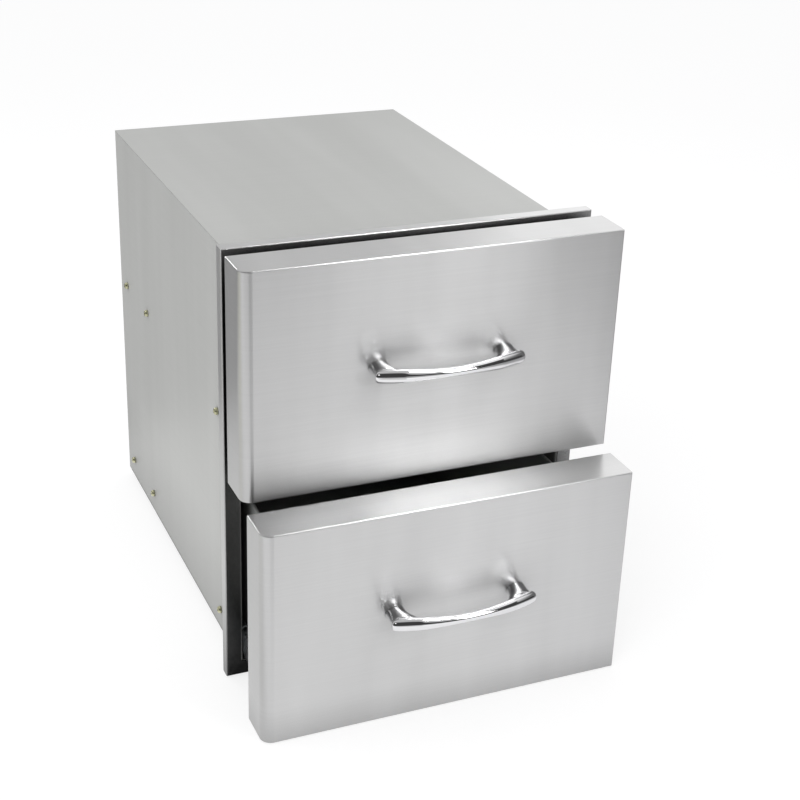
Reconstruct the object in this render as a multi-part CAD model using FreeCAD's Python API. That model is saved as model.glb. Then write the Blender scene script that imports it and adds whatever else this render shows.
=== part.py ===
import FreeCAD, Part
import math
import os
from FreeCAD import Vector

# Built-in outdoor kitchen unit with two stainless drawers on telescopic slides.
# Millimetres. X runs across the front, Y runs back into the island, Z is up.
# The origin is at the bottom centre of the flange, in the plane where the
# flange seats on the island wall. The drawers stand ajar at rest.

# Sheet metal
SHEET = 1.0                  # thickness of every folded steel sheet
BEND = 2.0                   # centreline radius of a plain fold
TIGHT_BEND = 1.0             # centreline radius of a tight fold

# Face frame
FLANGE_WIDTH = 432.0
FLANGE_HEIGHT = 524.0
FLANGE_RETURN = 14.0         # depth of the frame from its face to the wall
FLANGE_EDGE = 1.5            # radius along the frame's front edges
STILE = 17.5                 # width of the frame's face round the opening
SEAT_LIP = 8.0               # width of the lip that lies on the wall

# Cabinet box behind the frame
SIDE_OVERHANG = 19.0         # flange beyond the box at each side
TOP_OVERHANG = 19.0
BOTTOM_OVERHANG = 10.0
BOX_DEPTH = 530.0            # flange face to the outside of the back
WELD_FLANGE = 10.0           # flat of the folds welded behind the frame
SIDE_LIP = 14.0              # folds of the side panels under top and bottom
BACK_FLANGE = 12.0           # forward folds of the back panel
PANEL_FIT = 0.1              # gap round the back panel

# Drawer fronts
FRONT_OVERLAP = 1.5          # front beyond the flange at each side
FRONT_HEIGHT = 259.5
FRONT_THICKNESS = 50.8
FRONT_CORNER = 13.0          # rolled vertical corner at the left
FRONT_EDGE = 1.5             # fold along the top, bottom and right of the front
FRONT_BASE = 0.5             # lower front's bottom edge above the flange's
FRONT_GAP = 4.0              # gap between the two fronts
FRONT_LIP = 14.0             # rear folds of the front skin
LINER_FIT = 0.3
BUMPER_HEIGHT = 3.0
BUMPER_RADIUS = 4.0
BUMPER_INSET = 25.0          # bumper centres from the front's top and bottom

# Drawer boxes
DRAWER_LENGTH = 490.0
DRAWER_HEIGHT = 200.0
DRAWER_DROP = 17.0           # slide centreline above the drawer's lower edge
DRAWER_LIP = 12.0            # folds under the drawer's bottom panel
HEM = 1.6                    # centreline radius of the rolled top edges
HEM_TAIL = 6.0
DRAWER_FLANGE = 16.0         # folds screwed to the liner
DRAWER_FIT = 0.2

# Handles
HANDLE_SPAN = 172.0          # tip to tip
POST_SPACING = 148.0
HANDLE_SHIFT = 6.0           # handle to the right of the middle of its front
HANDLE_RISE = 7.5            # handle above it
TIP_REACH = 21.0             # bar centreline to front, at the tips
BOW_REACH = 36.0             # the same, in the middle of the bow
BAR_HEIGHT_MID = 12.0
BAR_HEIGHT_END = 17.0
BAR_DEPTH_MID = 10.0
BAR_DEPTH_END = 13.0
BAR_SWELL = 0.8              # share of the half span where the bar is full
BAR_SECTIONS = (-1, -0.97, -0.55, 0, 0.55, 0.97, 1)   # shares of half the bow
TIP_SIZE = 0.55              # size of the blunt tips against the full bar
FOOT_WIDTH = 22.0            # post where it stands on the front
FOOT_HEIGHT = 16.0
NECK_WIDTH = 17.0            # slimmest part of the post
NECK_HEIGHT = 13.0
NECK_REACH = 0.4             # share of the post below its neck
ROOT_WIDTH = 20.0            # post where it flows into the bar
ROOT_HEIGHT = 12.0

# Telescopic slides
SLIDE_LENGTH = 500.0
SLIDE_HEIGHT = 45.0
SLIDE_DEPTH = 12.7
SLIDE_SETBACK = 8.0          # slides start this far behind the flange face
RAIL = 1.2                   # thickness of the rolled rails
WEB_GAP = 0.8                # between the webs of outer and middle rail
BALL = 4.5                   # ball diameter
BALL_PLAY = 0.05
RACE_ANGLE = 20.0            # half angle of the races below the balls
SHOULDER_ANGLE = 45.0
OUTER_BEND = 1.5
INNER_BEND = 1.2
OUTER_WRAP = 60.0            # how far the outer race closes over its balls
INNER_WRAP = 80.0            # how far the middle rail wraps the inner balls
CAGE = 0.4
CAGE_LENGTH = 230.0
CAGE_BEND = 1.4
CAGE_RIM = 0.45
POCKET_PLAY = 0.1
BALLS_IN_ROW = 2

# Where the slides hang and how far they run
LOWER_SLIDE_Z = 37.0
CLOSED_GAP = BUMPER_HEIGHT
UPPER_AJAR = 17.0            # travel already made by the upper drawer
LOWER_AJAR = 83.0            # travel already made by the lower drawer

# Screws
PAN_HEAD_RADIUS = 4.3
PAN_HEAD_HEIGHT = 2.6
SLIDE_SCREW_DEPTHS = (84.0, 392.0, 496.0)   # from the flange face
DRAWER_SCREW_DEPTHS = (60.0, 420.0)         # from the rear of the front
HEX_HEAD_WIDTH = 8.0         # across the corners
HEX_HEAD_HEIGHT = 2.5

# Derived places
FACE_Y = -FLANGE_RETURN
BACK_Y = FACE_Y + BOX_DEPTH
BOX_HALF = FLANGE_WIDTH / 2 - SIDE_OVERHANG
WALL_HALF = BOX_HALF - SHEET
BOX_TOP = FLANGE_HEIGHT - TOP_OVERHANG
BOX_BOTTOM = BOTTOM_OVERHANG
RAIL_Y = FACE_Y + SLIDE_SETBACK
DRAWER_HALF = WALL_HALF - SLIDE_DEPTH
FRONT_HALF = FLANGE_WIDTH / 2 + FRONT_OVERLAP
LEVEL_PITCH = FRONT_HEIGHT + FRONT_GAP
LEVELS = {
    "lower": (0, LOWER_AJAR),
    "upper": (1, UPPER_AJAR),
}

# Ball and race positions in the slide's own section: x from the cabinet wall,
# y from the slide's centreline.
BALL_RADIUS = BALL / 2
RACE = BALL_RADIUS + BALL_PLAY + RAIL / 2
RACE_SIN = math.sin(math.radians(RACE_ANGLE))
RACE_COS = math.cos(math.radians(RACE_ANGLE))
MIDDLE_WEB = RAIL + WEB_GAP + RAIL / 2
OUTER_BALL_X = MIDDLE_WEB + INNER_BEND * (1 + RACE_SIN) + RACE * RACE_SIN
OUTER_BALL_Y = SLIDE_HEIGHT / 2 - RAIL / 2 - RACE
INNER_BALL_X = OUTER_BALL_X + 2 * RACE * RACE_SIN
INNER_BALL_Y = OUTER_BALL_Y - 2 * RACE * RACE_COS


def block(x0, x1, y0, y1, z0, z1):
    return Part.makeBox(x1 - x0, y1 - y0, z1 - z0, Vector(x0, y0, z0))


def rod(radius, start, direction, length):
    return Part.makeCylinder(radius, length, start, direction)


def mirrored(shape):
    return shape.mirror(Vector(0, 0, 0), Vector(1, 0, 0))


def fused(shapes):
    return shapes[0].multiFuse(shapes[1:]).removeSplitter()


def sided(point, heading, offset):
    a = math.radians(heading)
    return point + Vector(-math.sin(a), math.cos(a), 0) * offset


def strip(x, y, heading, moves, thickness):
    """Face of a bent strip in the XY plane, along its centreline.

    A move (length, 0) is a straight run; (radius, turn) is a fold, with the
    turn in degrees, positive to the left.
    """
    half = thickness / 2
    here = Vector(x, y, 0)
    edges = [Part.LineSegment(sided(here, heading, -half), sided(here, heading, half))]
    for size, turn in moves:
        if turn == 0:
            a = math.radians(heading)
            there = here + Vector(math.cos(a), math.sin(a), 0) * size
            for side in (-half, half):
                edges.append(Part.LineSegment(sided(here, heading, side), sided(there, heading, side)))
        else:
            hand = math.copysign(1, turn)
            centre = sided(here, heading, hand * size)
            middle = sided(centre, heading + turn / 2, -hand * size)
            there = sided(centre, heading + turn, -hand * size)
            for side in (-half, half):
                edges.append(Part.Arc(
                    sided(here, heading, side),
                    sided(middle, heading + turn / 2, side),
                    sided(there, heading + turn, side),
                ))
            heading += turn
        here = there
    edges.append(Part.LineSegment(sided(here, heading, -half), sided(here, heading, half)))
    ordered = Part.__sortEdges__([edge.toShape() for edge in edges])
    return Part.Face(Part.Wire(ordered))


def run_back(face, y0, y1):
    """Extrude a section drawn as (x, z) along Y."""
    solid = face.extrude(Vector(0, 0, y1 - y0))
    solid.rotate(Vector(0, 0, 0), Vector(1, 0, 0), 90)
    solid.translate(Vector(0, y1, 0))
    return solid


def run_up(face, z0, z1):
    """Extrude a section drawn as (x, y) along Z."""
    solid = face.extrude(Vector(0, 0, z1 - z0))
    solid.translate(Vector(0, 0, z0))
    return solid


def run_across(face, half):
    """Extrude a section drawn as (y, z) along X, centred."""
    solid = face.extrude(Vector(0, 0, 2 * half))
    solid.rotate(Vector(0, 0, 0), Vector(1, 1, 1), 120)
    solid.translate(Vector(-half, 0, 0))
    return solid


def edges_at(shape, test):
    """Edges whose two ends and middle all pass the test."""
    found = []
    for edge in shape.Edges:
        middle = edge.valueAt((edge.FirstParameter + edge.LastParameter) / 2)
        if all(test(p) for p in [v.Point for v in edge.Vertexes] + [middle]):
            found.append(edge)
    return found


def near(a, b):
    return abs(a - b) < 1e-4


def face_frame():
    half = FLANGE_WIDTH / 2
    outer = block(-half, half, FACE_Y, 0, 0, FLANGE_HEIGHT)
    outer = outer.makeFillet(FLANGE_EDGE, edges_at(outer, lambda p: near(p.y, FACE_Y)))
    inner = block(-half + SHEET, half - SHEET, FACE_Y + SHEET, -SHEET, SHEET, FLANGE_HEIGHT - SHEET)
    inner_edge = max(FLANGE_EDGE - SHEET, 0.1)
    inner = inner.makeFillet(inner_edge, edges_at(inner, lambda p: near(p.y, FACE_Y + SHEET)))
    opening = block(-half + STILE, half - STILE, FACE_Y, FACE_Y + SHEET, STILE, FLANGE_HEIGHT - STILE)
    seat = block(-half + SEAT_LIP, half - SEAT_LIP, -SHEET, 0, SEAT_LIP, FLANGE_HEIGHT - SEAT_LIP)
    return outer.cut(inner).cut(opening).cut(seat)


def fold_y():
    """Centreline depth of the box folds that lie behind the frame's face."""
    return FACE_Y + SHEET * 1.5


def cabinet_top():
    reach = BACK_Y - fold_y() - BEND
    section = strip(BACK_Y, BOX_TOP - SHEET / 2, 180, [(reach, 0), (BEND, -90), (WELD_FLANGE, 0)], SHEET)
    return run_across(section, BOX_HALF)


def cabinet_bottom():
    """Floor sheet; its front fold stands behind the frame's bottom rail."""
    front = fold_y() + BEND
    middle = BOX_BOTTOM + SHEET / 2
    rise = STILE - middle - BEND
    fold = strip(front, middle, 180, [(BEND, -90), (rise, 0)], SHEET)
    floor = block(-BOX_HALF, BOX_HALF, front, BACK_Y, BOX_BOTTOM, BOX_BOTTOM + SHEET)
    return fused([floor, run_across(fold, WALL_HALF - PANEL_FIT)])


def cabinet_left_side():
    low = BOX_BOTTOM + SHEET
    high = BOX_TOP - SHEET
    wall = -BOX_HALF + SHEET / 2
    front = fold_y() + BEND
    lips_end = BACK_Y - BACK_FLANGE - SHEET
    height = high - low - SHEET - 2 * TIGHT_BEND
    channel = strip(wall + TIGHT_BEND + SIDE_LIP, low + SHEET / 2, 180, [
        (SIDE_LIP, 0), (TIGHT_BEND, -90), (height, 0), (TIGHT_BEND, -90), (SIDE_LIP, 0),
    ], SHEET)
    flange = strip(wall, front, -90, [(BEND, -90), (WELD_FLANGE, 0)], SHEET)
    return fused([
        run_back(channel, front, lips_end),
        block(-BOX_HALF, -WALL_HALF, lips_end, BACK_Y, low, high),
        run_up(flange, low + BEND, high - BEND),
    ])


def cabinet_back():
    half = WALL_HALF - PANEL_FIT
    low = BOX_BOTTOM + SHEET + PANEL_FIT
    high = BOX_TOP - SHEET - PANEL_FIT
    front = BACK_Y - BACK_FLANGE
    pan = block(-half, half, front, BACK_Y, low, high)
    pan = pan.makeFillet(TIGHT_BEND + SHEET / 2, edges_at(pan, lambda p: near(p.y, BACK_Y)))
    hollow = block(-half + SHEET, half - SHEET, front, BACK_Y - SHEET, low + SHEET, high - SHEET)
    bend = TIGHT_BEND - SHEET / 2
    hollow = hollow.makeFillet(bend, edges_at(hollow, lambda p: near(p.y, BACK_Y - SHEET)))
    return pan.cut(hollow)


def slide_z(level):
    return LOWER_SLIDE_Z + level * LEVEL_PITCH


def slide_screw_places():
    """Points on the outer face of the left side panel."""
    places = []
    for level in range(len(LEVELS)):
        for depth in SLIDE_SCREW_DEPTHS:
            places.append(Vector(-BOX_HALF, FACE_Y + depth, slide_z(level)))
    return places


def hex_head(point, direction):
    """Hexagon head seated on a point, standing out in a direction."""
    corners = [Vector(HEX_HEAD_WIDTH / 2, 0, 0)]
    for _ in range(6):
        corner = corners[-1]
        turned = FreeCAD.Rotation(Vector(0, 0, 1), 60).multVec(corner)
        corners.append(turned)
    head = Part.Face(Part.makePolygon(corners)).extrude(Vector(0, 0, HEX_HEAD_HEIGHT))
    head.Placement = FreeCAD.Placement(point, FreeCAD.Rotation(Vector(0, 0, 1), direction))
    return head


def slide_screws():
    """Pan heads seated on the side panel."""
    outward = Vector(-1, 0, 0)
    return [rod(PAN_HEAD_RADIUS, point, outward, PAN_HEAD_HEIGHT) for point in slide_screw_places()]


def rolled(x, moves, thickness):
    """Both halves of a rail or cage section, from its centreline up and down."""
    upper = strip(x, 0, 90, moves, thickness).extrude(Vector(0, 0, 1))
    lower = upper.mirror(Vector(0, 0, 0), Vector(0, 1, 0))
    whole = fused([upper, lower])
    return [face for face in whole.Faces if near(face.CenterOfMass.z, 0)][0]


def outer_rail_section():
    a = math.radians(SHOULDER_ANGLE)
    run = (OUTER_BALL_X - RAIL / 2 - OUTER_BEND * (1 - math.cos(a))) / math.cos(a) - RACE
    web = OUTER_BALL_Y - OUTER_BEND * math.sin(a) - (run - RACE) * math.sin(a)
    return rolled(RAIL / 2, [
        (web, 0), (OUTER_BEND, -SHOULDER_ANGLE), (run, 0), (RACE, -SHOULDER_ANGLE - OUTER_WRAP),
    ], RAIL)


def middle_rail_section():
    web = OUTER_BALL_Y - (RACE + INNER_BEND) * RACE_COS
    return rolled(MIDDLE_WEB, [
        (web, 0), (INNER_BEND, -90 - RACE_ANGLE), (RACE, 2 * RACE_ANGLE), (RACE, -RACE_ANGLE - INNER_WRAP),
    ], RAIL)


def inner_rail_section():
    web_x = SLIDE_DEPTH - RAIL / 2
    run = (web_x - INNER_BEND * (1 + RACE_SIN) - INNER_BALL_X - RACE * RACE_SIN) / RACE_COS
    web = INNER_BALL_Y - RACE * RACE_COS + run * RACE_SIN - INNER_BEND * RACE_COS
    return rolled(web_x, [
        (web, 0), (INNER_BEND, 90 + RACE_ANGLE), (run, 0), (RACE, -2 * RACE_ANGLE),
    ], RAIL)


def cage_section(web_x, ball_x, ball_y):
    arm = ball_x + BALL_RADIUS + POCKET_PLAY + CAGE_RIM - web_x - CAGE_BEND
    return rolled(web_x, [(ball_y - CAGE_BEND, 0), (CAGE_BEND, -90), (arm, 0)], CAGE)


def ball_depths(start):
    pitch = CAGE_LENGTH / BALLS_IN_ROW
    return [start + pitch * (i + 0.5) for i in range(BALLS_IN_ROW)]


def at_slide(shape, level):
    moved = shape.copy()
    moved.translate(Vector(-WALL_HALF, 0, slide_z(level)))
    return moved


def rail(section, y0, level):
    return at_slide(run_back(section, y0, y0 + SLIDE_LENGTH), level)


def cage(web_x, ball_x, ball_y, y0, level):
    body = run_back(cage_section(web_x, ball_x, ball_y), y0, y0 + CAGE_LENGTH)
    half = BALL_RADIUS + POCKET_PLAY
    for y in ball_depths(y0):
        for z in (-ball_y, ball_y):
            body = body.cut(block(ball_x - half, ball_x + half, y - half, y + half, z - CAGE, z + CAGE))
    return at_slide(body, level)


def ball(centre):
    """Ball with few faces: a cube with every edge cut back to the sphere."""
    cut = 2 - math.sqrt(2)
    corner = math.sqrt(1 + 2 * (1 - cut) ** 2)
    half = BALL_RADIUS / corner
    cube = Part.makeBox(2 * half, 2 * half, 2 * half, centre - Vector(half, half, half))
    return cube.makeChamfer(cut * half, cube.Edges)


def balls(ball_x, ball_y, y0, level):
    return [
        at_slide(ball(Vector(ball_x, y, z)), level)
        for y in ball_depths(y0) for z in (-ball_y, ball_y)
    ]


def left_slide(level, ajar):
    """The fixed rail, and the pieces that run at a quarter, a half, three
    quarters and the whole of the drawer's travel."""
    cage_start = RAIL_Y + (SLIDE_LENGTH - CAGE_LENGTH) / 2
    outer_cage_y = cage_start - ajar / 4
    inner_cage_y = cage_start - ajar * 3 / 4
    outer_web = RAIL + WEB_GAP / 2
    inner_web = MIDDLE_WEB + RAIL / 2 + WEB_GAP / 2
    return {
        "outer_rail": [rail(outer_rail_section(), RAIL_Y, level)],
        "outer_cage": [cage(outer_web, OUTER_BALL_X, OUTER_BALL_Y, outer_cage_y, level)],
        "outer_balls": balls(OUTER_BALL_X, OUTER_BALL_Y, outer_cage_y, level),
        "middle_rail": [rail(middle_rail_section(), RAIL_Y - ajar / 2, level)],
        "inner_cage": [cage(inner_web, INNER_BALL_X, INNER_BALL_Y, inner_cage_y, level)],
        "inner_balls": balls(INNER_BALL_X, INNER_BALL_Y, inner_cage_y, level),
        "inner_rail": [rail(inner_rail_section(), RAIL_Y - ajar, level)],
    }


def front_rear(ajar):
    """Plane of the rear of a drawer front."""
    return FACE_Y - CLOSED_GAP - ajar


def front_z(level):
    return FRONT_BASE + level * LEVEL_PITCH


def front_plan(inset, rear, front):
    """Plan of a drawer front: rolled front corner at the left, else square."""
    half = FRONT_HALF - inset
    radius = FRONT_CORNER - inset
    diagonal = radius * (1 - math.sqrt(0.5))
    roll = [Vector(-half, front + radius, 0), Vector(-half + diagonal, front + diagonal, 0),
            Vector(-half + radius, front, 0)]
    flats = [roll[2], Vector(half, front, 0), Vector(half, rear, 0), Vector(-half, rear, 0), roll[0]]
    edges = [Part.LineSegment(a, b) for a, b in zip(flats, flats[1:])]
    edges.append(Part.Arc(*roll))
    return Part.Face(Part.Wire(Part.__sortEdges__([edge.toShape() for edge in edges])))


def front_skin(level, ajar):
    rear = front_rear(ajar)
    face = rear - FRONT_THICKNESS
    low = front_z(level)
    high = low + FRONT_HEIGHT
    skin = run_up(front_plan(0, rear, face), low, high)
    folds = edges_at(skin, lambda p: (near(p.z, low) or near(p.z, high)) and p.y < rear - 1e-3)
    folds += edges_at(skin, lambda p: near(p.x, FRONT_HALF) and near(p.y, face))
    skin = skin.makeFillet(FRONT_EDGE, folds)
    hollow = run_up(front_plan(SHEET, rear - SHEET, face + SHEET), low + SHEET, high - SHEET)
    edge = SHEET + FRONT_LIP
    mouth = block(-FRONT_HALF + edge, FRONT_HALF - edge, rear - SHEET, rear, low + edge, high - edge)
    return [skin.cut(hollow).cut(mouth)]


def front_liner(level, ajar):
    rear = front_rear(ajar) - SHEET
    half = FRONT_HALF - SHEET - LINER_FIT
    low = front_z(level) + SHEET + LINER_FIT
    high = front_z(level) + FRONT_HEIGHT - SHEET - LINER_FIT
    return [block(-half, half, rear - SHEET, rear, low, high)]


def bumper_places(level, ajar):
    x = FLANGE_WIDTH / 2 - STILE / 2
    low = front_z(level) + BUMPER_INSET
    high = front_z(level) + FRONT_HEIGHT - BUMPER_INSET
    return [Vector(side * x, front_rear(ajar), z) for side in (-1, 1) for z in (low, high)]


def bumpers(level, ajar):
    """Rubber buttons stuck to the skin's rear fold."""
    back = Vector(0, 1, 0)
    return [rod(BUMPER_RADIUS, point, back, BUMPER_HEIGHT) for point in bumper_places(level, ajar)]


def drawer_low(level):
    return slide_z(level) - DRAWER_DROP


def drawer_left_wall(level, ajar):
    """Side of the drawer box: lip below, rolled hem above, flange in front."""
    low = drawer_low(level)
    front = front_rear(ajar)
    rear = front - SHEET + DRAWER_LENGTH
    x = -DRAWER_HALF + SHEET / 2
    height = DRAWER_HEIGHT - SHEET / 2 - TIGHT_BEND - HEM - SHEET / 2
    section = strip(x + TIGHT_BEND + DRAWER_LIP, low + SHEET / 2, 180, [
        (DRAWER_LIP, 0), (TIGHT_BEND, -90), (height, 0), (HEM, -180), (HEM_TAIL, 0),
    ], SHEET)
    fold = strip(x, front - SHEET / 2 + TIGHT_BEND, -90, [(TIGHT_BEND, 90), (DRAWER_FLANGE, 0)], SHEET)
    return [fused([
        run_back(section, front - SHEET / 2 + TIGHT_BEND, rear),
        run_up(fold, low + DRAWER_LIP, low + DRAWER_HEIGHT - DRAWER_LIP),
    ])]


def drawer_back_wall(level, ajar):
    """Stands on the drawer's bottom: lip below, rolled hem above."""
    base = drawer_low(level) + 2 * SHEET
    rear = front_rear(ajar) - SHEET + DRAWER_LENGTH - SHEET / 2
    height = drawer_low(level) + DRAWER_HEIGHT - base - SHEET - TIGHT_BEND - HEM
    section = strip(rear - TIGHT_BEND - DRAWER_LIP, base + SHEET / 2, 0, [
        (DRAWER_LIP, 0), (TIGHT_BEND, 90), (height, 0), (HEM, 180), (HEM_TAIL, 0),
    ], SHEET)
    half = DRAWER_HALF - 2 * SHEET - 2 * HEM - DRAWER_FIT
    return [run_across(section, half)]


def drawer_bottom(level, ajar):
    low = drawer_low(level) + SHEET
    half = DRAWER_HALF - SHEET - DRAWER_FIT - TIGHT_BEND / 2
    front = front_rear(ajar)
    return [block(-half, half, front, front - SHEET + DRAWER_LENGTH, low, low + SHEET)]


def front_screw_places(level, ajar):
    """Screws that hold the drawer box to the liner, two at each side."""
    x = DRAWER_HALF - DRAWER_FLANGE / 2 - TIGHT_BEND - SHEET / 2
    low = drawer_low(level) + DRAWER_HEIGHT / 4
    high = drawer_low(level) + DRAWER_HEIGHT * 3 / 4
    return [Vector(side * x, front_rear(ajar), z) for side in (-1, 1) for z in (low, high)]


def front_screws(level, ajar):
    """Heads inside the drawer, on the folds of its walls."""
    return [hex_head(point, Vector(0, 1, 0)) for point in front_screw_places(level, ajar)]


def rail_screws(level, ajar):
    """Heads inside the drawer, two at each inner rail."""
    made = []
    for depth in DRAWER_SCREW_DEPTHS:
        point = Vector(-DRAWER_HALF + SHEET, front_rear(ajar) + depth, slide_z(level))
        screw = hex_head(point, Vector(1, 0, 0))
        made += [screw, mirrored(screw)]
    return made


def handle_z(level):
    return front_z(level) + FRONT_HEIGHT / 2 + HANDLE_RISE


def bow(share):
    """Place and heading of the bar's centreline, from -1 at one tip to 1."""
    half = HANDLE_SPAN / 2
    rise = BOW_REACH - TIP_REACH
    radius = (half * half + rise * rise) / (2 * rise)
    angle = math.asin(half / radius) * share
    return Vector(radius * math.sin(angle), radius * (1 - math.cos(angle)) - BOW_REACH, 0), angle


def oval(centre, across, up, width, height):
    """Closed ellipse round a centre, in the plane of two directions."""
    if width >= height:
        curve = Part.Ellipse(centre + across * width / 2, centre + up * height / 2, centre)
    else:
        curve = Part.Ellipse(centre + up * height / 2, centre - across * width / 2, centre)
    return Part.Wire(curve.toShape())


def handle_bar():
    """Bowed bar, slimmer in the middle, closed by blunt tips."""
    up = Vector(0, 0, 1)
    sections = []
    for share in BAR_SECTIONS:
        centre, angle = bow(share)
        swell = min(abs(share) / BAR_SWELL, 1) ** 2
        size = TIP_SIZE if abs(share) == 1 else 1
        depth = (BAR_DEPTH_MID + (BAR_DEPTH_END - BAR_DEPTH_MID) * swell) * size
        height = (BAR_HEIGHT_MID + (BAR_HEIGHT_END - BAR_HEIGHT_MID) * swell) * size
        across = Vector(-math.sin(angle), math.cos(angle), 0)
        sections.append(oval(centre, across, up, depth, height))
    return Part.makeLoft(sections, True, True)


def handle_post(side):
    """Foot on the front, drawn in to a neck that flows out into the bar."""
    reach = -bow(POST_SPACING / HANDLE_SPAN)[0].y
    across = Vector(1, 0, 0)
    up = Vector(0, 0, 1)
    sections = []
    for share, width, height in (
        (0, FOOT_WIDTH, FOOT_HEIGHT), (NECK_REACH, NECK_WIDTH, NECK_HEIGHT), (1, ROOT_WIDTH, ROOT_HEIGHT),
    ):
        centre = Vector(side * POST_SPACING / 2, -reach * share, 0)
        sections.append(oval(centre, across, up, width, height))
    return Part.makeLoft(sections, True, True)


def handle(level, ajar):
    solid = fused([handle_bar(), handle_post(-1), handle_post(1)])
    solid.translate(Vector(HANDLE_SHIFT, front_rear(ajar) - FRONT_THICKNESS, handle_z(level)))
    return [solid]


def handle_screws(level, ajar):
    """Heads on the inner face of the front, one behind each post."""
    inside = front_rear(ajar) - FRONT_THICKNESS + SHEET
    return [
        hex_head(Vector(HANDLE_SHIFT + side * POST_SPACING / 2, inside, handle_z(level)), Vector(0, 1, 0))
        for side in (-1, 1)
    ]


def save(name, solids):
    shape = solids[0] if len(solids) == 1 else Part.makeCompound(solids)
    shape.exportStep(os.path.join("parts", name + ".step"))


def save_cabinet():
    left = cabinet_left_side()
    screws = slide_screws()
    save("face_frame", [face_frame()])
    save("cabinet_top", [cabinet_top()])
    save("cabinet_bottom", [cabinet_bottom()])
    save("cabinet_left_side", [left])
    save("cabinet_right_side", [mirrored(left)])
    save("cabinet_back", [cabinet_back()])
    save("left_slide_screws", screws)
    save("right_slide_screws", [mirrored(screw) for screw in screws])


def save_drawer(name, level, ajar):
    wall = drawer_left_wall(level, ajar)
    pieces = {
        "front_skin": front_skin(level, ajar),
        "front_liner": front_liner(level, ajar),
        "bumpers": bumpers(level, ajar),
        "left_wall": wall,
        "right_wall": [mirrored(wall[0])],
        "back_wall": drawer_back_wall(level, ajar),
        "bottom": drawer_bottom(level, ajar),
        "handle": handle(level, ajar),
        "handle_screws": handle_screws(level, ajar),
        "front_screws": front_screws(level, ajar),
        "rail_screws": rail_screws(level, ajar),
    }
    for piece, solids in pieces.items():
        save(name + "_drawer_" + piece, solids)
    for piece, solids in left_slide(level, ajar).items():
        save(name + "_left_" + piece, solids)
        save(name + "_right_" + piece, [mirrored(solid) for solid in solids])


os.makedirs("parts", exist_ok=True)
save_cabinet()
for level_name, (level_index, level_ajar) in LEVELS.items():
    save_drawer(level_name, level_index, level_ajar)
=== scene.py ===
import math

import bmesh
import bpy
from mathutils import Matrix, Vector


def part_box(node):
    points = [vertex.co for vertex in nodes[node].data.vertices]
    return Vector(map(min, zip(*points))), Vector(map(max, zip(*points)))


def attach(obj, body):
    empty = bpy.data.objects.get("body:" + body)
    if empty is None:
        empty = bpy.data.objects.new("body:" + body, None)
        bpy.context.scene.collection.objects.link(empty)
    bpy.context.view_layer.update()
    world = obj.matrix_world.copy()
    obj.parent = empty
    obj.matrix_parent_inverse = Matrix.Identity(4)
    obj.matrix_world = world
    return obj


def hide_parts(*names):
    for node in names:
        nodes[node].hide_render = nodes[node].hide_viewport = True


# Built-in outdoor kitchen unit with two stainless drawers: finishes and studio.
# Metres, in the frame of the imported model: X across, Y back, Z up.

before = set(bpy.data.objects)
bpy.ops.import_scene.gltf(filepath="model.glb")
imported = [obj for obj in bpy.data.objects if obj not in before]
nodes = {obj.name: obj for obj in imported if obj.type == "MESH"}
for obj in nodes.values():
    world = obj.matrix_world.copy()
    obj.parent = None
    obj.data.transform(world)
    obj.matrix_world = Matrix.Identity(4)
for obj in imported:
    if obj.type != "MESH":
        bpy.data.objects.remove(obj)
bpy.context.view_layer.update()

# Camera
CAMERA_PLACE = (-0.6518, -1.4696, 1.0697)
CAMERA_AZIMUTH = 23.798      # degrees from +Y towards +X
CAMERA_DIP = 25.140          # degrees below the horizon
CAMERA_ROLL = 2.103
CAMERA_LENS = 70.62
CAMERA_SENSOR = 36.0
CAMERA_NEAR = 0.01

WHITE = (1.0, 1.0, 1.0)      # of the floor and the room, as the camera sees them

# Floor
FLOOR_SIZE = 12.0
FLOOR_Z = -0.0005
FLOOR_PAINT = (0.35, 0.35, 0.35)
FLOOR_LIGHT = 0.4            # what the floor throws on the object
FLOOR_SEEN = 0.7             # what the camera sees
FLOOR_MIRRORED = 0.69        # what reflections show
FLOOR_PATCHES = (            # in reflections only: left, right, near, far, softness, tint
    (0.60, 9.0, -9.0, 9.0, 0.14, (0.48, 0.48, 0.49)),
    (0.10, 9.0, -0.60, -0.05, 0.12, (0.90, 0.90, 0.91)),
    (-9.0, 9.0, -0.82, -0.05, 0.12, (0.92, 0.92, 0.92)),
    (0.79, 9.0, -9.0, 9.0, 0.05, (0.15, 0.15, 0.15)),
    (-0.45, -0.03, -9.0, -0.65, 0.04, (0.50, 0.50, 0.50)),
    (-9.0, -0.26, -0.20, 9.0, 0.06, (0.66, 0.66, 0.65)),
    (-9.0, -0.80, 0.05, 0.80, 0.10, (0.80, 0.80, 0.62)),
    (-9.0, 0.00, 0.66, 9.0, 0.08, (0.03, 0.03, 0.025)),
    (-9.0, 9.0, -9.0, -1.42, 0.20, (0.06, 0.06, 0.06)),
)

# Room
ROOM_COLOUR = (0.94, 0.94, 0.95)
ROOM_LIGHT = 0.8             # what it throws on the object
DIM_COLOUR = (0.05, 0.05, 0.05)

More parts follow.
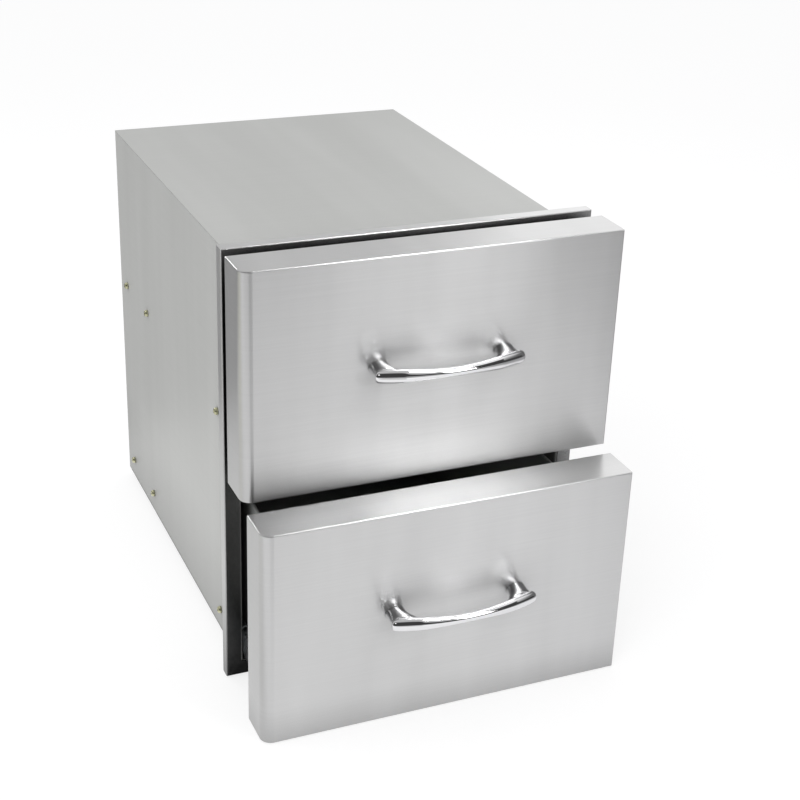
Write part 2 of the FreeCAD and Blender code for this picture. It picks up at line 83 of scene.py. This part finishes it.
# Dim parts of the room, which only reflections show. Each pair is a soft edge,
# from its first value to its second, in the X, Y or Z of a direction.
WALL_LOW = (-0.06, 0.02)     # wall behind the camera: its lower edge in Z,
WALL_HIGH = (0.32, 0.48)     # its upper edge in Z,
WALL_FRONT = (0.10, -0.45)   # and its end in Y at both sides;
WALL_RIGHT = (0.34, 0.46)    # it is higher between these two in X,
WALL_RIGHT_END = (0.62, 0.74)
WALL_RIGHT_LIFT = 0.34
WALL_LEFT = (0.24, 0.0)      # and to the left of this one
WALL_LEFT_LIFT = 0.46
CEILING_LEFT = (0.38, 0.08)  # ceiling, at the left and in front
CEILING_FRONT = (0.08, -0.15)
CEILING_DEPTH = 0.5          # how dim it is, where 1 is as dim as DIM_COLOUR
PILLAR_LEFT = (0.478, 0.500)     # upright strip, between two bearings in radians
PILLAR_RIGHT = (0.64, 0.60)      # from -Y towards +X
PILLAR_DEPTH = 0.9
LEFT_SIDE = (0.44, 0.37)     # the whole left of the room
LEFT_DEPTH = 0.38
CORNER_LEFT = (0.10, -0.06)  # low part of it
CORNER_LOW = (0.32, 0.18)
RIGHT_SIDE = (0.55, 0.80)    # its far right
RIGHT_DEPTH = 0.9

LAMPS = (                    # name, place, aim, size, watts, lights things, shows in gloss
    ("key", (-1.6, -1.8, 2.2), (0, 0, 0.3), (1.6, 1.6), 26.0, True, False),
    ("top", (0.2, 0.6, 2.6), (0, 0.2, 0.3), (2.0, 2.0), 1.5, True, False),
    ("side", (-2.2, 0.5, 0.9), (0, 0.2, 0.3), (0.9, 0.9), 6.0, True, False),
    ("window", (0.97, -2.06, 1.15), (0, -0.1, 0.3), (0.40, 0.60), 5.0, True, True),
    ("back", (1.45, 1.82, 1.20), (0, 0, 0.5), (0.80, 0.60), 1.0, True, True),
    ("front_top", (0.87, -1.15, 2.50), (0.1, -0.1, 0.3), (0.24, 0.80), 13.0, False, True),
    ("back_left", (-0.85, 1.80, 1.35), (-0.2, -0.1, 0.5), (0.40, 0.40), 3.0, True, True),
    ("glint", (-1.3, -1.9, 1.9), (0, -0.1, 0.4), (0.40, 0.40), 1.6, True, True),
)

# Finishes
GRAINS = (                   # repeats in a metre across and along, detail, roughness, weight
    (2600.0, 14.0, 4.0, 0.7, 0.16),
    (460.0, 6.0, 3.0, 0.6, 0.24),
    (1.5, 15.0, 2.0, 0.6, 0.60),     # the soft upright waves
)
GRAIN_BUMP = (0.02, 0.00002)         # strength, depth
GRAIN_TANGENT = (0.0, 0.02, 1.0)     # square to the grain; level faces take the Y
LEVEL_FACE = 0.7             # a face is level from this much of Z in its normal
STEEL_SPREAD = 0.02          # of the roughness, to both sides
NOISE_RANGE = (0.3, 0.7)     # most of a noise lies between these
# samples for how shut in a point is, for the painted shade of the brushed steels
PAINTED_SHADE_SAMPLES = 8
# The last three settings of each brushed steel paint shade into its colour where other parts are
# near: how near, the share of the view shut off at full shade, and the colour of full shade.
BRUSHED_STEELS = {
    "brushed_stainless": dict(
        dark=(0.54, 0.54, 0.54), light=(0.79, 0.79, 0.79), metallic=1.0, roughness=0.30,
        anisotropy=0.90, painted_shade_reach=0.05, painted_shade_full=1.0, painted_shade_tint=(0.45, 0.45, 0.45)),
    "frame_stainless": dict(
        dark=(0.58, 0.58, 0.58), light=(0.84, 0.84, 0.84), metallic=1.0, roughness=0.30,
        anisotropy=0.90, painted_shade_reach=0.15, painted_shade_full=0.70, painted_shade_tint=(0.0, 0.0, 0.0)),
    "mill_stainless": dict(
        dark=(0.47, 0.475, 0.46), light=(0.63, 0.635, 0.62), metallic=0.30, roughness=0.45,
        anisotropy=0.35, painted_shade_reach=0.15, painted_shade_full=1.0, painted_shade_tint=(0.25, 0.25, 0.25)),
}
PLAIN_METALS = {             # dark, light, roughness, its spread, clouds in a metre, bump
    "chrome": ((0.80, 0.80, 0.81), (0.86, 0.86, 0.87), 0.05, 0.02, 60.0, 0.02),
    "zinc_plate": ((0.50, 0.52, 0.54), (0.62, 0.64, 0.66), 0.30, 0.08, 90.0, 0.10),
    "cage_steel": ((0.42, 0.42, 0.41), (0.52, 0.52, 0.51), 0.36, 0.06, 120.0, 0.10),
    "bearing_steel": ((0.60, 0.60, 0.61), (0.68, 0.68, 0.69), 0.12, 0.03, 200.0, 0.02),
    "yellow_zinc": ((0.50, 0.49, 0.30), (0.72, 0.71, 0.50), 0.28, 0.06, 400.0, 0.10),
    "screw_steel": ((0.50, 0.50, 0.50), (0.62, 0.62, 0.62), 0.32, 0.08, 300.0, 0.15),
}
RUBBER_DARK = (0.012, 0.012, 0.012)
RUBBER_LIGHT = (0.035, 0.034, 0.033)
RUBBER_ROUGHNESS = (0.55, 0.80)
RUBBER_NOISE = (4.0, 0.7, 900.0)     # detail, roughness, speckles in a metre
RUBBER_BUMP = 0.3
CLOUD_NOISE = (4.0, 0.6)     # of plain metals: detail, roughness
BUMP_DEPTH = 0.0001          # on plain metals and rubber
NODE_FINISHES = (            # end of a node's name, its finish; the first that fits counts
    ("_front_skin", "brushed_stainless"),
    ("face_frame", "frame_stainless"),
    ("_handle", "chrome"),
    ("_rail", "zinc_plate"),
    ("_cage", "cage_steel"),
    ("_balls", "bearing_steel"),
    ("_slide_screws", "yellow_zinc"),
    ("_screws", "screw_steel"),
    ("_bumpers", "rubber"),
    ("", "mill_stainless"),
)

# Handles
BOW_HALF = 0.086
BOW_RISE = 0.015
TIP_REACH = 0.021
POST_PLACE = 0.074
BAR_RINGS = (                # share of half the bow, depth, height
    (0.00, 0.0088, 0.0096),
    (0.22, 0.0094, 0.0106),
    (0.44, 0.0108, 0.0128),
    (0.60, 0.0120, 0.0148),
    (0.64, 0.0124, 0.0154),
    (0.84, 0.0128, 0.0158),
    (0.95, 0.0122, 0.0150),
    (0.985, 0.0106, 0.0128),
    (1.00, 0.0064, 0.0078),
)
POST_RINGS = (               # share of the reach, width, height, inward shift
    (0.78, 0.0310, 0.0136, 0.0042),
    (0.54, 0.0262, 0.0136, 0.0026),
    (0.26, 0.0232, 0.0148, 0.0014),
    (0.05, 0.0236, 0.0164, 0.0010),
    (0.00, 0.0240, 0.0166, 0.0010),
)
BAR_SIDES = 12
POST_RING = 3                # counted from a tip, the ring that a post grows from
HANDLE_LEVELS = 3

# Screws and balls
HEAD_RINGS = (               # radius, height above the sheet
    (0.0042, 0.0),
    (0.0045, 0.0003),
    (0.0046, 0.0014),
    (0.0043, 0.0030),
    (0.0034, 0.0040),
    (0.0025, 0.0043),
)
HEAD_SIDES = 12              # as many as the cross recess has
HEAD_LEVELS = 2
RECESS_ARM = 0.0021
RECESS_HALF = 0.00055        # half the width of an arm
RECESS_RINGS = ((1.0, 0.0044), (0.98, 0.0041), (0.85, 0.0024), (0.80, 0.0022))   # share, height
BALL_RADIUS = 0.00225
BALL_DIVISIONS = 2
BALL_LEVELS = 1
WELD = 0.00001               # vertices nearer than this are one

X_AXIS = Vector((1, 0, 0))
Z_AXIS = Vector((0, 0, 1))


def node_tree(owner):
    owner.use_nodes = True
    tree = owner.node_tree
    tree.nodes.clear()
    return tree


def feed(tree, value, socket):
    """Give an input a link, a colour or a number."""
    if isinstance(value, bpy.types.NodeSocket):
        tree.links.new(value, socket)
    elif socket.type == "RGBA":
        socket.default_value = (*value, 1)
    else:
        socket.default_value = value


def add(tree, kind, **settings):
    """Add a node and set its properties; names that aren't properties are inputs."""
    node = tree.nodes.new(kind)
    for name, value in settings.items():
        if name in node.bl_rna.properties:
            setattr(node, name, value)
        else:
            feed(tree, value, node.inputs[name.replace("_", " ")])
    return node


def math_node(tree, operation, result, *values):
    """Apply an operation to numbers and outputs, from left to right."""
    for value in values:
        node = add(tree, "ShaderNodeMath", operation=operation)
        feed(tree, result, node.inputs[0])
        feed(tree, value, node.inputs[1])
        result = node.outputs[0]
    return result


def mix_node(tree, blend, fac, first, second):
    node = add(tree, "ShaderNodeMix", data_type="RGBA", blend_type=blend, Factor=fac)
    colours = [socket for socket in node.inputs if socket.type == "RGBA"]
    feed(tree, first, colours[0])
    feed(tree, second, colours[1])
    return next(socket for socket in node.outputs if socket.type == "RGBA")


def axes_of(tree, vector):
    node = add(tree, "ShaderNodeSeparateXYZ", Vector=vector)
    return [node.outputs[axis] for axis in "XYZ"]


def object_place(tree):
    return add(tree, "ShaderNodeTexCoord").outputs["Object"]


def ranged(tree, value, low, high, from_low=0.0, from_high=1.0):
    node = add(
        tree, "ShaderNodeMapRange", Value=value, From_Min=from_low, From_Max=from_high,
        To_Min=low, To_Max=high)
    return node.outputs["Result"]


def smooth(tree, value, start, end):
    """Soft step from 0 at one value to 1 at another."""
    node = add(
        tree, "ShaderNodeMapRange", interpolation_type="SMOOTHSTEP", Value=value,
        From_Min=start, From_Max=end)
    return node.outputs["Result"]


def noise(tree, vector, detail, roughness, scale=1.0):
    node = add(
        tree, "ShaderNodeTexNoise", Vector=vector, Scale=scale, Detail=detail,
        Roughness=roughness)
    return node.outputs["Fac"]


def painted_shade_share(tree, reach, full):
    """Share of the view that things within reach shut off, divided by full; the brushed steels
    paint shade into their colour by it.
    """
    node = add(tree, "ShaderNodeAmbientOcclusion", samples=PAINTED_SHADE_SAMPLES, Distance=reach)
    shut = math_node(tree, "SUBTRACT", 1.0, node.outputs["AO"])
    return ranged(tree, shut, 0.0, 1.0, 0.0, full)


def bumped(tree, height, strength, depth):
    node = add(tree, "ShaderNodeBump", Height=height, Strength=strength, Distance=depth)
    return node.outputs["Normal"]


def grain_vector(tree, across, along):
    """Object coordinates drawn out along a horizontal grain.

    On upright faces the grain repeats finely in Z. On level faces it repeats
    finely in Y instead.
    """
    normal = add(tree, "ShaderNodeNewGeometry").outputs["True Normal"]
    height = math_node(tree, "ABSOLUTE", axes_of(tree, normal)[2], 0.0)
    level = math_node(tree, "GREATER_THAN", height, LEVEL_FACE)
    scale = add(
        tree, "ShaderNodeCombineXYZ", X=along, Y=ranged(tree, level, along, across), Z=across)
    drawn = add(tree, "ShaderNodeVectorMath", operation="MULTIPLY")
    feed(tree, object_place(tree), drawn.inputs[0])
    feed(tree, scale.outputs[0], drawn.inputs[1])
    return drawn.outputs[0]


def new_material(name):
    material = bpy.data.materials.new(name)
    return material, node_tree(material)


def principled(tree, **inputs):
    """Give a material its one shader."""
    shader = add(tree, "ShaderNodeBsdfPrincipled", **inputs)
    add(tree, "ShaderNodeOutputMaterial", Surface=shader.outputs[0])


def brushed_steel(
        name, dark, light, metallic, roughness, anisotropy, painted_shade_reach, painted_shade_full, painted_shade_tint):
    """Brushed sheet: fine grain, soft upright waves, and painted shade that darkens its colour in
    gaps.
    """
    material, tree = new_material(name)
    grains = []
    shares = []
    for across, along, detail, rough, weight in GRAINS:
        grain = noise(tree, grain_vector(tree, across, along), detail, rough)
        grains.append(grain)
        shares.append(math_node(tree, "MULTIPLY", grain, weight))
    tone = math_node(tree, "ADD", *shares)
    steel = mix_node(tree, "MIX", tone, dark, light)
    tangent = add(
        tree, "ShaderNodeCombineXYZ", X=GRAIN_TANGENT[0], Y=GRAIN_TANGENT[1], Z=GRAIN_TANGENT[2])
    principled(
        tree,
        # painted shade: the colour darkens towards the tint where nearby parts shut off the view
        Base_Color=mix_node(tree, "MULTIPLY", painted_shade_share(tree, painted_shade_reach, painted_shade_full), steel, painted_shade_tint),
        Metallic=metallic,
        Roughness=ranged(
            tree, tone, roughness - STEEL_SPREAD, roughness + STEEL_SPREAD, *NOISE_RANGE),
        Anisotropic=anisotropy,
        Tangent=tangent.outputs[0],
        Normal=bumped(tree, grains[0], *GRAIN_BUMP))
    return material


def plain_metal(name, dark, light, roughness, spread, clouds, bump):
    """Plated or drawn metal with a slight unevenness."""
    material, tree = new_material(name)
    cloud = noise(tree, object_place(tree), *CLOUD_NOISE, clouds)
    principled(
        tree,
        Base_Color=mix_node(tree, "MIX", cloud, dark, light),
        Metallic=1.0,
        Roughness=ranged(tree, cloud, roughness - spread, roughness + spread, *NOISE_RANGE),
        Normal=bumped(tree, cloud, bump, BUMP_DEPTH))
    return material


def rubber():
    material, tree = new_material("rubber")
    speckle = noise(tree, object_place(tree), *RUBBER_NOISE)
    principled(
        tree,
        Base_Color=mix_node(tree, "MIX", speckle, RUBBER_DARK, RUBBER_LIGHT),
        Roughness=ranged(tree, speckle, *RUBBER_ROUGHNESS),
        Normal=bumped(tree, speckle, RUBBER_BUMP, BUMP_DEPTH))
    return material


def make_finishes():
    finishes = {name: brushed_steel(name, **looks) for name, looks in BRUSHED_STEELS.items()}
    finishes.update({name: plain_metal(name, *looks) for name, looks in PLAIN_METALS.items()})
    finishes["rubber"] = rubber()
    return finishes


def finish_of(node):
    return next(finish for end, finish in NODE_FINISHES if node.endswith(end))


def new_object(name, data):
    item = bpy.data.objects.new(name, data)
    bpy.context.scene.collection.objects.link(item)
    return item


def seen_directly(tree, path):
    """1 for rays from the camera and through glass, 0 for all others."""
    return math_node(
        tree, "MAXIMUM", path.outputs["Is Camera Ray"], path.outputs["Is Transmission Ray"])


def make_world():
    """Soft even room light, seen as white, with dim parts in reflections.

    The dim parts give the chrome its dark bands and the steel its shades.
    """
    world = bpy.data.worlds.new("studio")
    bpy.context.scene.world = world
    tree = node_tree(world)
    path = add(tree, "ShaderNodeLightPath")
    glossy = path.outputs["Is Glossy Ray"]
    x, y, z = axes_of(tree, add(tree, "ShaderNodeTexCoord").outputs["Generated"])
    bearing = math_node(tree, "ARCTAN2", x, math_node(tree, "MULTIPLY", y, -1.0))
    right = math_node(
        tree, "SUBTRACT", smooth(tree, x, *WALL_RIGHT), smooth(tree, x, *WALL_RIGHT_END))
    lift = math_node(
        tree, "ADD", math_node(tree, "MULTIPLY", right, WALL_RIGHT_LIFT),
        math_node(tree, "MULTIPLY", smooth(tree, x, *WALL_LEFT), WALL_LEFT_LIFT))
    above = smooth(tree, z, *WALL_LOW)
    over = smooth(tree, math_node(tree, "SUBTRACT", z, lift), *WALL_HIGH)
    parts = (
        (math_node(tree, "SUBTRACT", above, over), smooth(tree, y, *WALL_FRONT)),
        (smooth(tree, x, *LEFT_SIDE), LEFT_DEPTH),
        (smooth(tree, x, *CORNER_LEFT), smooth(tree, z, *CORNER_LOW)),
        (smooth(tree, x, *RIGHT_SIDE), RIGHT_DEPTH),
        (smooth(tree, x, *CEILING_LEFT), smooth(tree, y, *CEILING_FRONT), above, CEILING_DEPTH),
        (smooth(tree, bearing, *PILLAR_LEFT), smooth(tree, bearing, *PILLAR_RIGHT), above,
         PILLAR_DEPTH),
    )
    dim = math_node(tree, "MAXIMUM", *(math_node(tree, "MULTIPLY", *part) for part in parts))
    dim = math_node(tree, "MULTIPLY", dim, glossy)
    room = add(tree, "ShaderNodeBackground", Color=ROOM_COLOUR, Strength=ROOM_LIGHT)
    seen = add(tree, "ShaderNodeBackground", Color=mix_node(tree, "MIX", dim, WHITE, DIM_COLOUR))
    both = add(
        tree, "ShaderNodeMixShader",
        Fac=math_node(tree, "MAXIMUM", seen_directly(tree, path), glossy))
    feed(tree, room.outputs[0], both.inputs[1])
    feed(tree, seen.outputs[0], both.inputs[2])
    add(tree, "ShaderNodeOutputWorld", Surface=both.outputs[0])


def make_floor():
    """Pale floor that keeps the object's shadow; reflections show it in patches."""
    half = FLOOR_SIZE / 2
    mesh = bpy.data.meshes.new("floor")
    corners = [(-half, -half, 0), (half, -half, 0), (half, half, 0), (-half, half, 0)]
    mesh.from_pydata(corners, [], [(0, 1, 2, 3)])
    floor = new_object("floor", mesh)
    floor.location.z = FLOOR_Z
    material, tree = new_material("floor")
    path = add(tree, "ShaderNodeLightPath")
    glossy = path.outputs["Is Glossy Ray"]
    x, y, _ = axes_of(tree, object_place(tree))
    colour = WHITE
    for left, right, near, far, soft, tint in FLOOR_PATCHES:
        inside = math_node(
            tree, "MULTIPLY", glossy,
            smooth(tree, x, left - soft, left + soft), smooth(tree, x, right + soft, right - soft),
            smooth(tree, y, near - soft, near + soft), smooth(tree, y, far + soft, far - soft))
        colour = mix_node(tree, "MULTIPLY", inside, colour, tint)
    strength = math_node(
        tree, "ADD", ranged(tree, seen_directly(tree, path), FLOOR_LIGHT, FLOOR_SEEN),
        math_node(tree, "MULTIPLY", glossy, FLOOR_MIRRORED - FLOOR_LIGHT))
    paint = add(tree, "ShaderNodeBsdfDiffuse", Color=FLOOR_PAINT)
    glow = add(tree, "ShaderNodeEmission", Color=colour, Strength=strength)
    both = add(tree, "ShaderNodeAddShader")
    feed(tree, paint.outputs[0], both.inputs[0])
    feed(tree, glow.outputs[0], both.inputs[1])
    add(tree, "ShaderNodeOutputMaterial", Surface=both.outputs[0])
    mesh.materials.append(material)


def make_lamp(name, place, aim, size, power, lit, mirrored):
    lamp = bpy.data.lights.new(name, "AREA")
    lamp.shape = "RECTANGLE"
    lamp.size, lamp.size_y = size
    lamp.energy = power
    item = new_object(name, lamp)
    item.location = place
    item.rotation_euler = (Vector(aim) - Vector(place)).to_track_quat("-Z", "Y").to_euler()
    item.visible_camera = False
    item.visible_diffuse = lit
    item.visible_glossy = mirrored


def make_camera():
    azimuth, dip, roll = (
        math.radians(angle) for angle in (CAMERA_AZIMUTH, CAMERA_DIP, CAMERA_ROLL))
    forward = Vector((
        math.sin(azimuth) * math.cos(dip), math.cos(azimuth) * math.cos(dip), -math.sin(dip)))
    level = Vector((math.cos(azimuth), -math.sin(azimuth), 0))
    upright = level.cross(forward)
    right = level * math.cos(roll) + upright * math.sin(roll)
    up = right.cross(forward)
    camera = bpy.data.cameras.new("camera")
    camera.lens = CAMERA_LENS
    camera.sensor_width = CAMERA_SENSOR
    camera.clip_start = CAMERA_NEAR
    item = new_object("camera", camera)
    turn = Matrix((right, up, -forward)).transposed()
    item.matrix_world = Matrix.Translation(CAMERA_PLACE) @ turn.to_4x4()
    bpy.context.scene.camera = item


def bridge(mesh, first, second):
    """Quads between two rings of as many points."""
    count = len(first)
    for i in range(count):
        j = (i + 1) % count
        mesh.faces.new((first[i], first[j], second[j], second[i]))


def oval(mesh, sides, centre, half_width, half_height):
    """Ring of a control cage, whose smoothed outline has these two half axes."""
    grown = 1 / (2 / 3 + math.cos(2 * math.pi / sides) / 3)
    ring = []
    for i in range(sides):
        turn = 2 * math.pi * i / sides
        spoke = half_width * math.cos(turn) + half_height * math.sin(turn)
        ring.append(mesh.verts.new(centre + grown * spoke))
    return ring


def bow_point(share):
    """Centreline of the bar from its middle, and its heading."""
    radius = (BOW_HALF ** 2 + BOW_RISE ** 2) / (2 * BOW_RISE)
    angle = math.asin(BOW_HALF / radius) * share
    reach = TIP_REACH + BOW_RISE - radius * (1 - math.cos(angle))
    return Vector((radius * math.sin(angle), -reach, 0)), angle


def bar_ring(mesh, share, depth, height):
    """Ring square to the bar, from its back round over its top."""
    centre, angle = bow_point(share)
    back = Vector((-math.sin(angle), math.cos(angle), 0))
    return oval(mesh, BAR_SIDES, centre, back * depth / 2, Z_AXIS * height / 2)


def bow_handle(name, node):
    """Cast bow handle: a control cage for a subdivision surface.

    The posts grow out of the faces on the back of the bar, so that they flow
    into it as in the casting.
    """
    mesh = bmesh.new()
    rings = [(-share, depth, height) for share, depth, height in reversed(BAR_RINGS[1:])]
    rings = [bar_ring(mesh, *ring) for ring in rings + list(BAR_RINGS)]
    last = len(rings) - 1
    posts = {POST_RING: -1, last - POST_RING: 1}
    for i in range(last):
        for k in range(BAR_SIDES):
            behind = k in (0, BAR_SIDES - 1)
            if behind and (i in posts or i + 1 in posts):
                continue
            j = (k + 1) % BAR_SIDES
            mesh.faces.new((rings[i][k], rings[i + 1][k], rings[i + 1][j], rings[i][j]))
    for end in (0, last):
        mesh.faces.new(rings[end])
    reach = -bow_point(POST_PLACE / BOW_HALF)[0].y
    for middle, side in posts.items():
        left, centre, right = (rings[middle + step] for step in (-1, 0, 1))
        loop = [right[0], right[1], centre[1], left[1], left[0], left[-1], centre[-1], right[-1]]
        for share, width, height, inward in POST_RINGS:
            place = Vector((side * (POST_PLACE - inward), -reach * share, 0))
            ring = oval(mesh, len(loop), place, X_AXIS * width / 2, Z_AXIS * height / 2)
            bridge(mesh, loop, ring)
            loop = ring
        mesh.faces.new(loop)
    bmesh.ops.recalc_face_normals(mesh, faces=mesh.faces)
    low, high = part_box(node)
    place = Vector(((low[0] + high[0]) / 2, high[1], (low[2] + high[2]) / 2))
    return rounded_piece(name, mesh, HANDLE_LEVELS, place)


def solids_of(node):
    """Middles of the separate solids of a node."""
    mesh = bmesh.new()
    mesh.from_mesh(nodes[node].data)
    bmesh.ops.remove_doubles(mesh, verts=mesh.verts, dist=WELD)
    seen = set()
    middles = []
    for start in mesh.verts:
        if start.index in seen:
            continue
        solid = [start]
        seen.add(start.index)
        for vert in solid:
            for link in vert.link_edges:
                near = link.other_vert(vert)
                if near.index not in seen:
                    seen.add(near.index)
                    solid.append(near)
        low, high = (
            Vector([end(vert.co[axis] for vert in solid) for axis in range(3)])
            for end in (min, max))
        middles.append((low + high) / 2)
    mesh.free()
    return middles


def pan_head(mesh, base, outward):
    """Domed head with a cross recess, seated on a point; a control cage."""
    place = Matrix.Translation(base) @ outward.to_track_quat("Z", "Y").to_matrix().to_4x4()
    outlines = []
    for radius, rise in HEAD_RINGS:
        turns = (2 * math.pi * (i - 0.5) / HEAD_SIDES for i in range(HEAD_SIDES))
        outlines.append([(radius * math.cos(a), radius * math.sin(a), rise) for a in turns])
    for share, rise in RECESS_RINGS:
        arm, half = RECESS_ARM * share, RECESS_HALF * share
        outlines.append([
            (x * cos - y * sin, x * sin + y * cos, rise)
            for cos, sin in ((1, 0), (0, 1), (-1, 0), (0, -1))
            for x, y in ((arm, -half), (arm, half), (half, half))])
    rings = [[mesh.verts.new(place @ Vector(point)) for point in outline] for outline in outlines]
    mesh.faces.new(rings[0])
    for lower, upper in zip(rings, rings[1:]):
        bridge(mesh, lower, upper)
    mesh.faces.new(rings[-1])


def pan_heads(name, node, outward):
    """Screw heads in the node's places, seated on the box's side."""
    mesh = bmesh.new()
    low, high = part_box(node)
    for middle in solids_of(node):
        base = Vector((low[0] if outward.x > 0 else high[0], middle.y, middle.z))
        pan_head(mesh, base, outward)
    bmesh.ops.recalc_face_normals(mesh, faces=mesh.faces)
    return rounded_piece(name, mesh, HEAD_LEVELS)


def ball_race(name, node):
    """Ground steel balls where the node has its own."""
    mesh = bmesh.new()
    for middle in solids_of(node):
        bmesh.ops.create_icosphere(
            mesh, subdivisions=BALL_DIVISIONS, radius=BALL_RADIUS,
            matrix=Matrix.Translation(middle))
    return rounded_piece(name, mesh, BALL_LEVELS)


def rounded_piece(name, mesh, levels, place=(0, 0, 0)):
    """Object from a control cage, under a subdivision surface."""
    data = bpy.data.meshes.new(name)
    mesh.to_mesh(data)
    mesh.free()
    data.transform(Matrix.Translation(place))
    data.shade_smooth()
    item = new_object(name, data)
    modifier = item.modifiers.new("round", "SUBSURF")
    modifier.levels = levels
    modifier.render_levels = levels
    return item


def put(item, finish, body, *stands_for):
    item.data.materials.append(FINISHES[finish])
    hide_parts(*stands_for)
    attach(item, body)


FINISHES = make_finishes()
for node_name, node_object in nodes.items():
    node_object.data.materials.clear()
    node_object.data.materials.append(FINISHES[finish_of(node_name)])
for level in ("lower", "upper"):
    handle = bow_handle(level + "_bow_handle", level + "_drawer_handle")
    put(handle, "chrome", level + "_drawer", level + "_drawer_handle")
    for side in ("left", "right"):
        for row in ("outer", "inner"):
            balls = level + "_" + side + "_" + row + "_balls"
            race = ball_race(balls.replace("balls", "ball_race"), balls)
            put(race, "bearing_steel", level + "_" + row + "_cages", balls)
for side, outward in (("left", (-1, 0, 0)), ("right", (1, 0, 0))):
    heads = pan_heads(side + "_pan_heads", side + "_slide_screws", Vector(outward))
    put(heads, "yellow_zinc", "cabinet", side + "_slide_screws")
make_world()
make_floor()
for lamp in LAMPS:
    make_lamp(*lamp)
make_camera()
bpy.context.scene.view_settings.view_transform = "Standard"
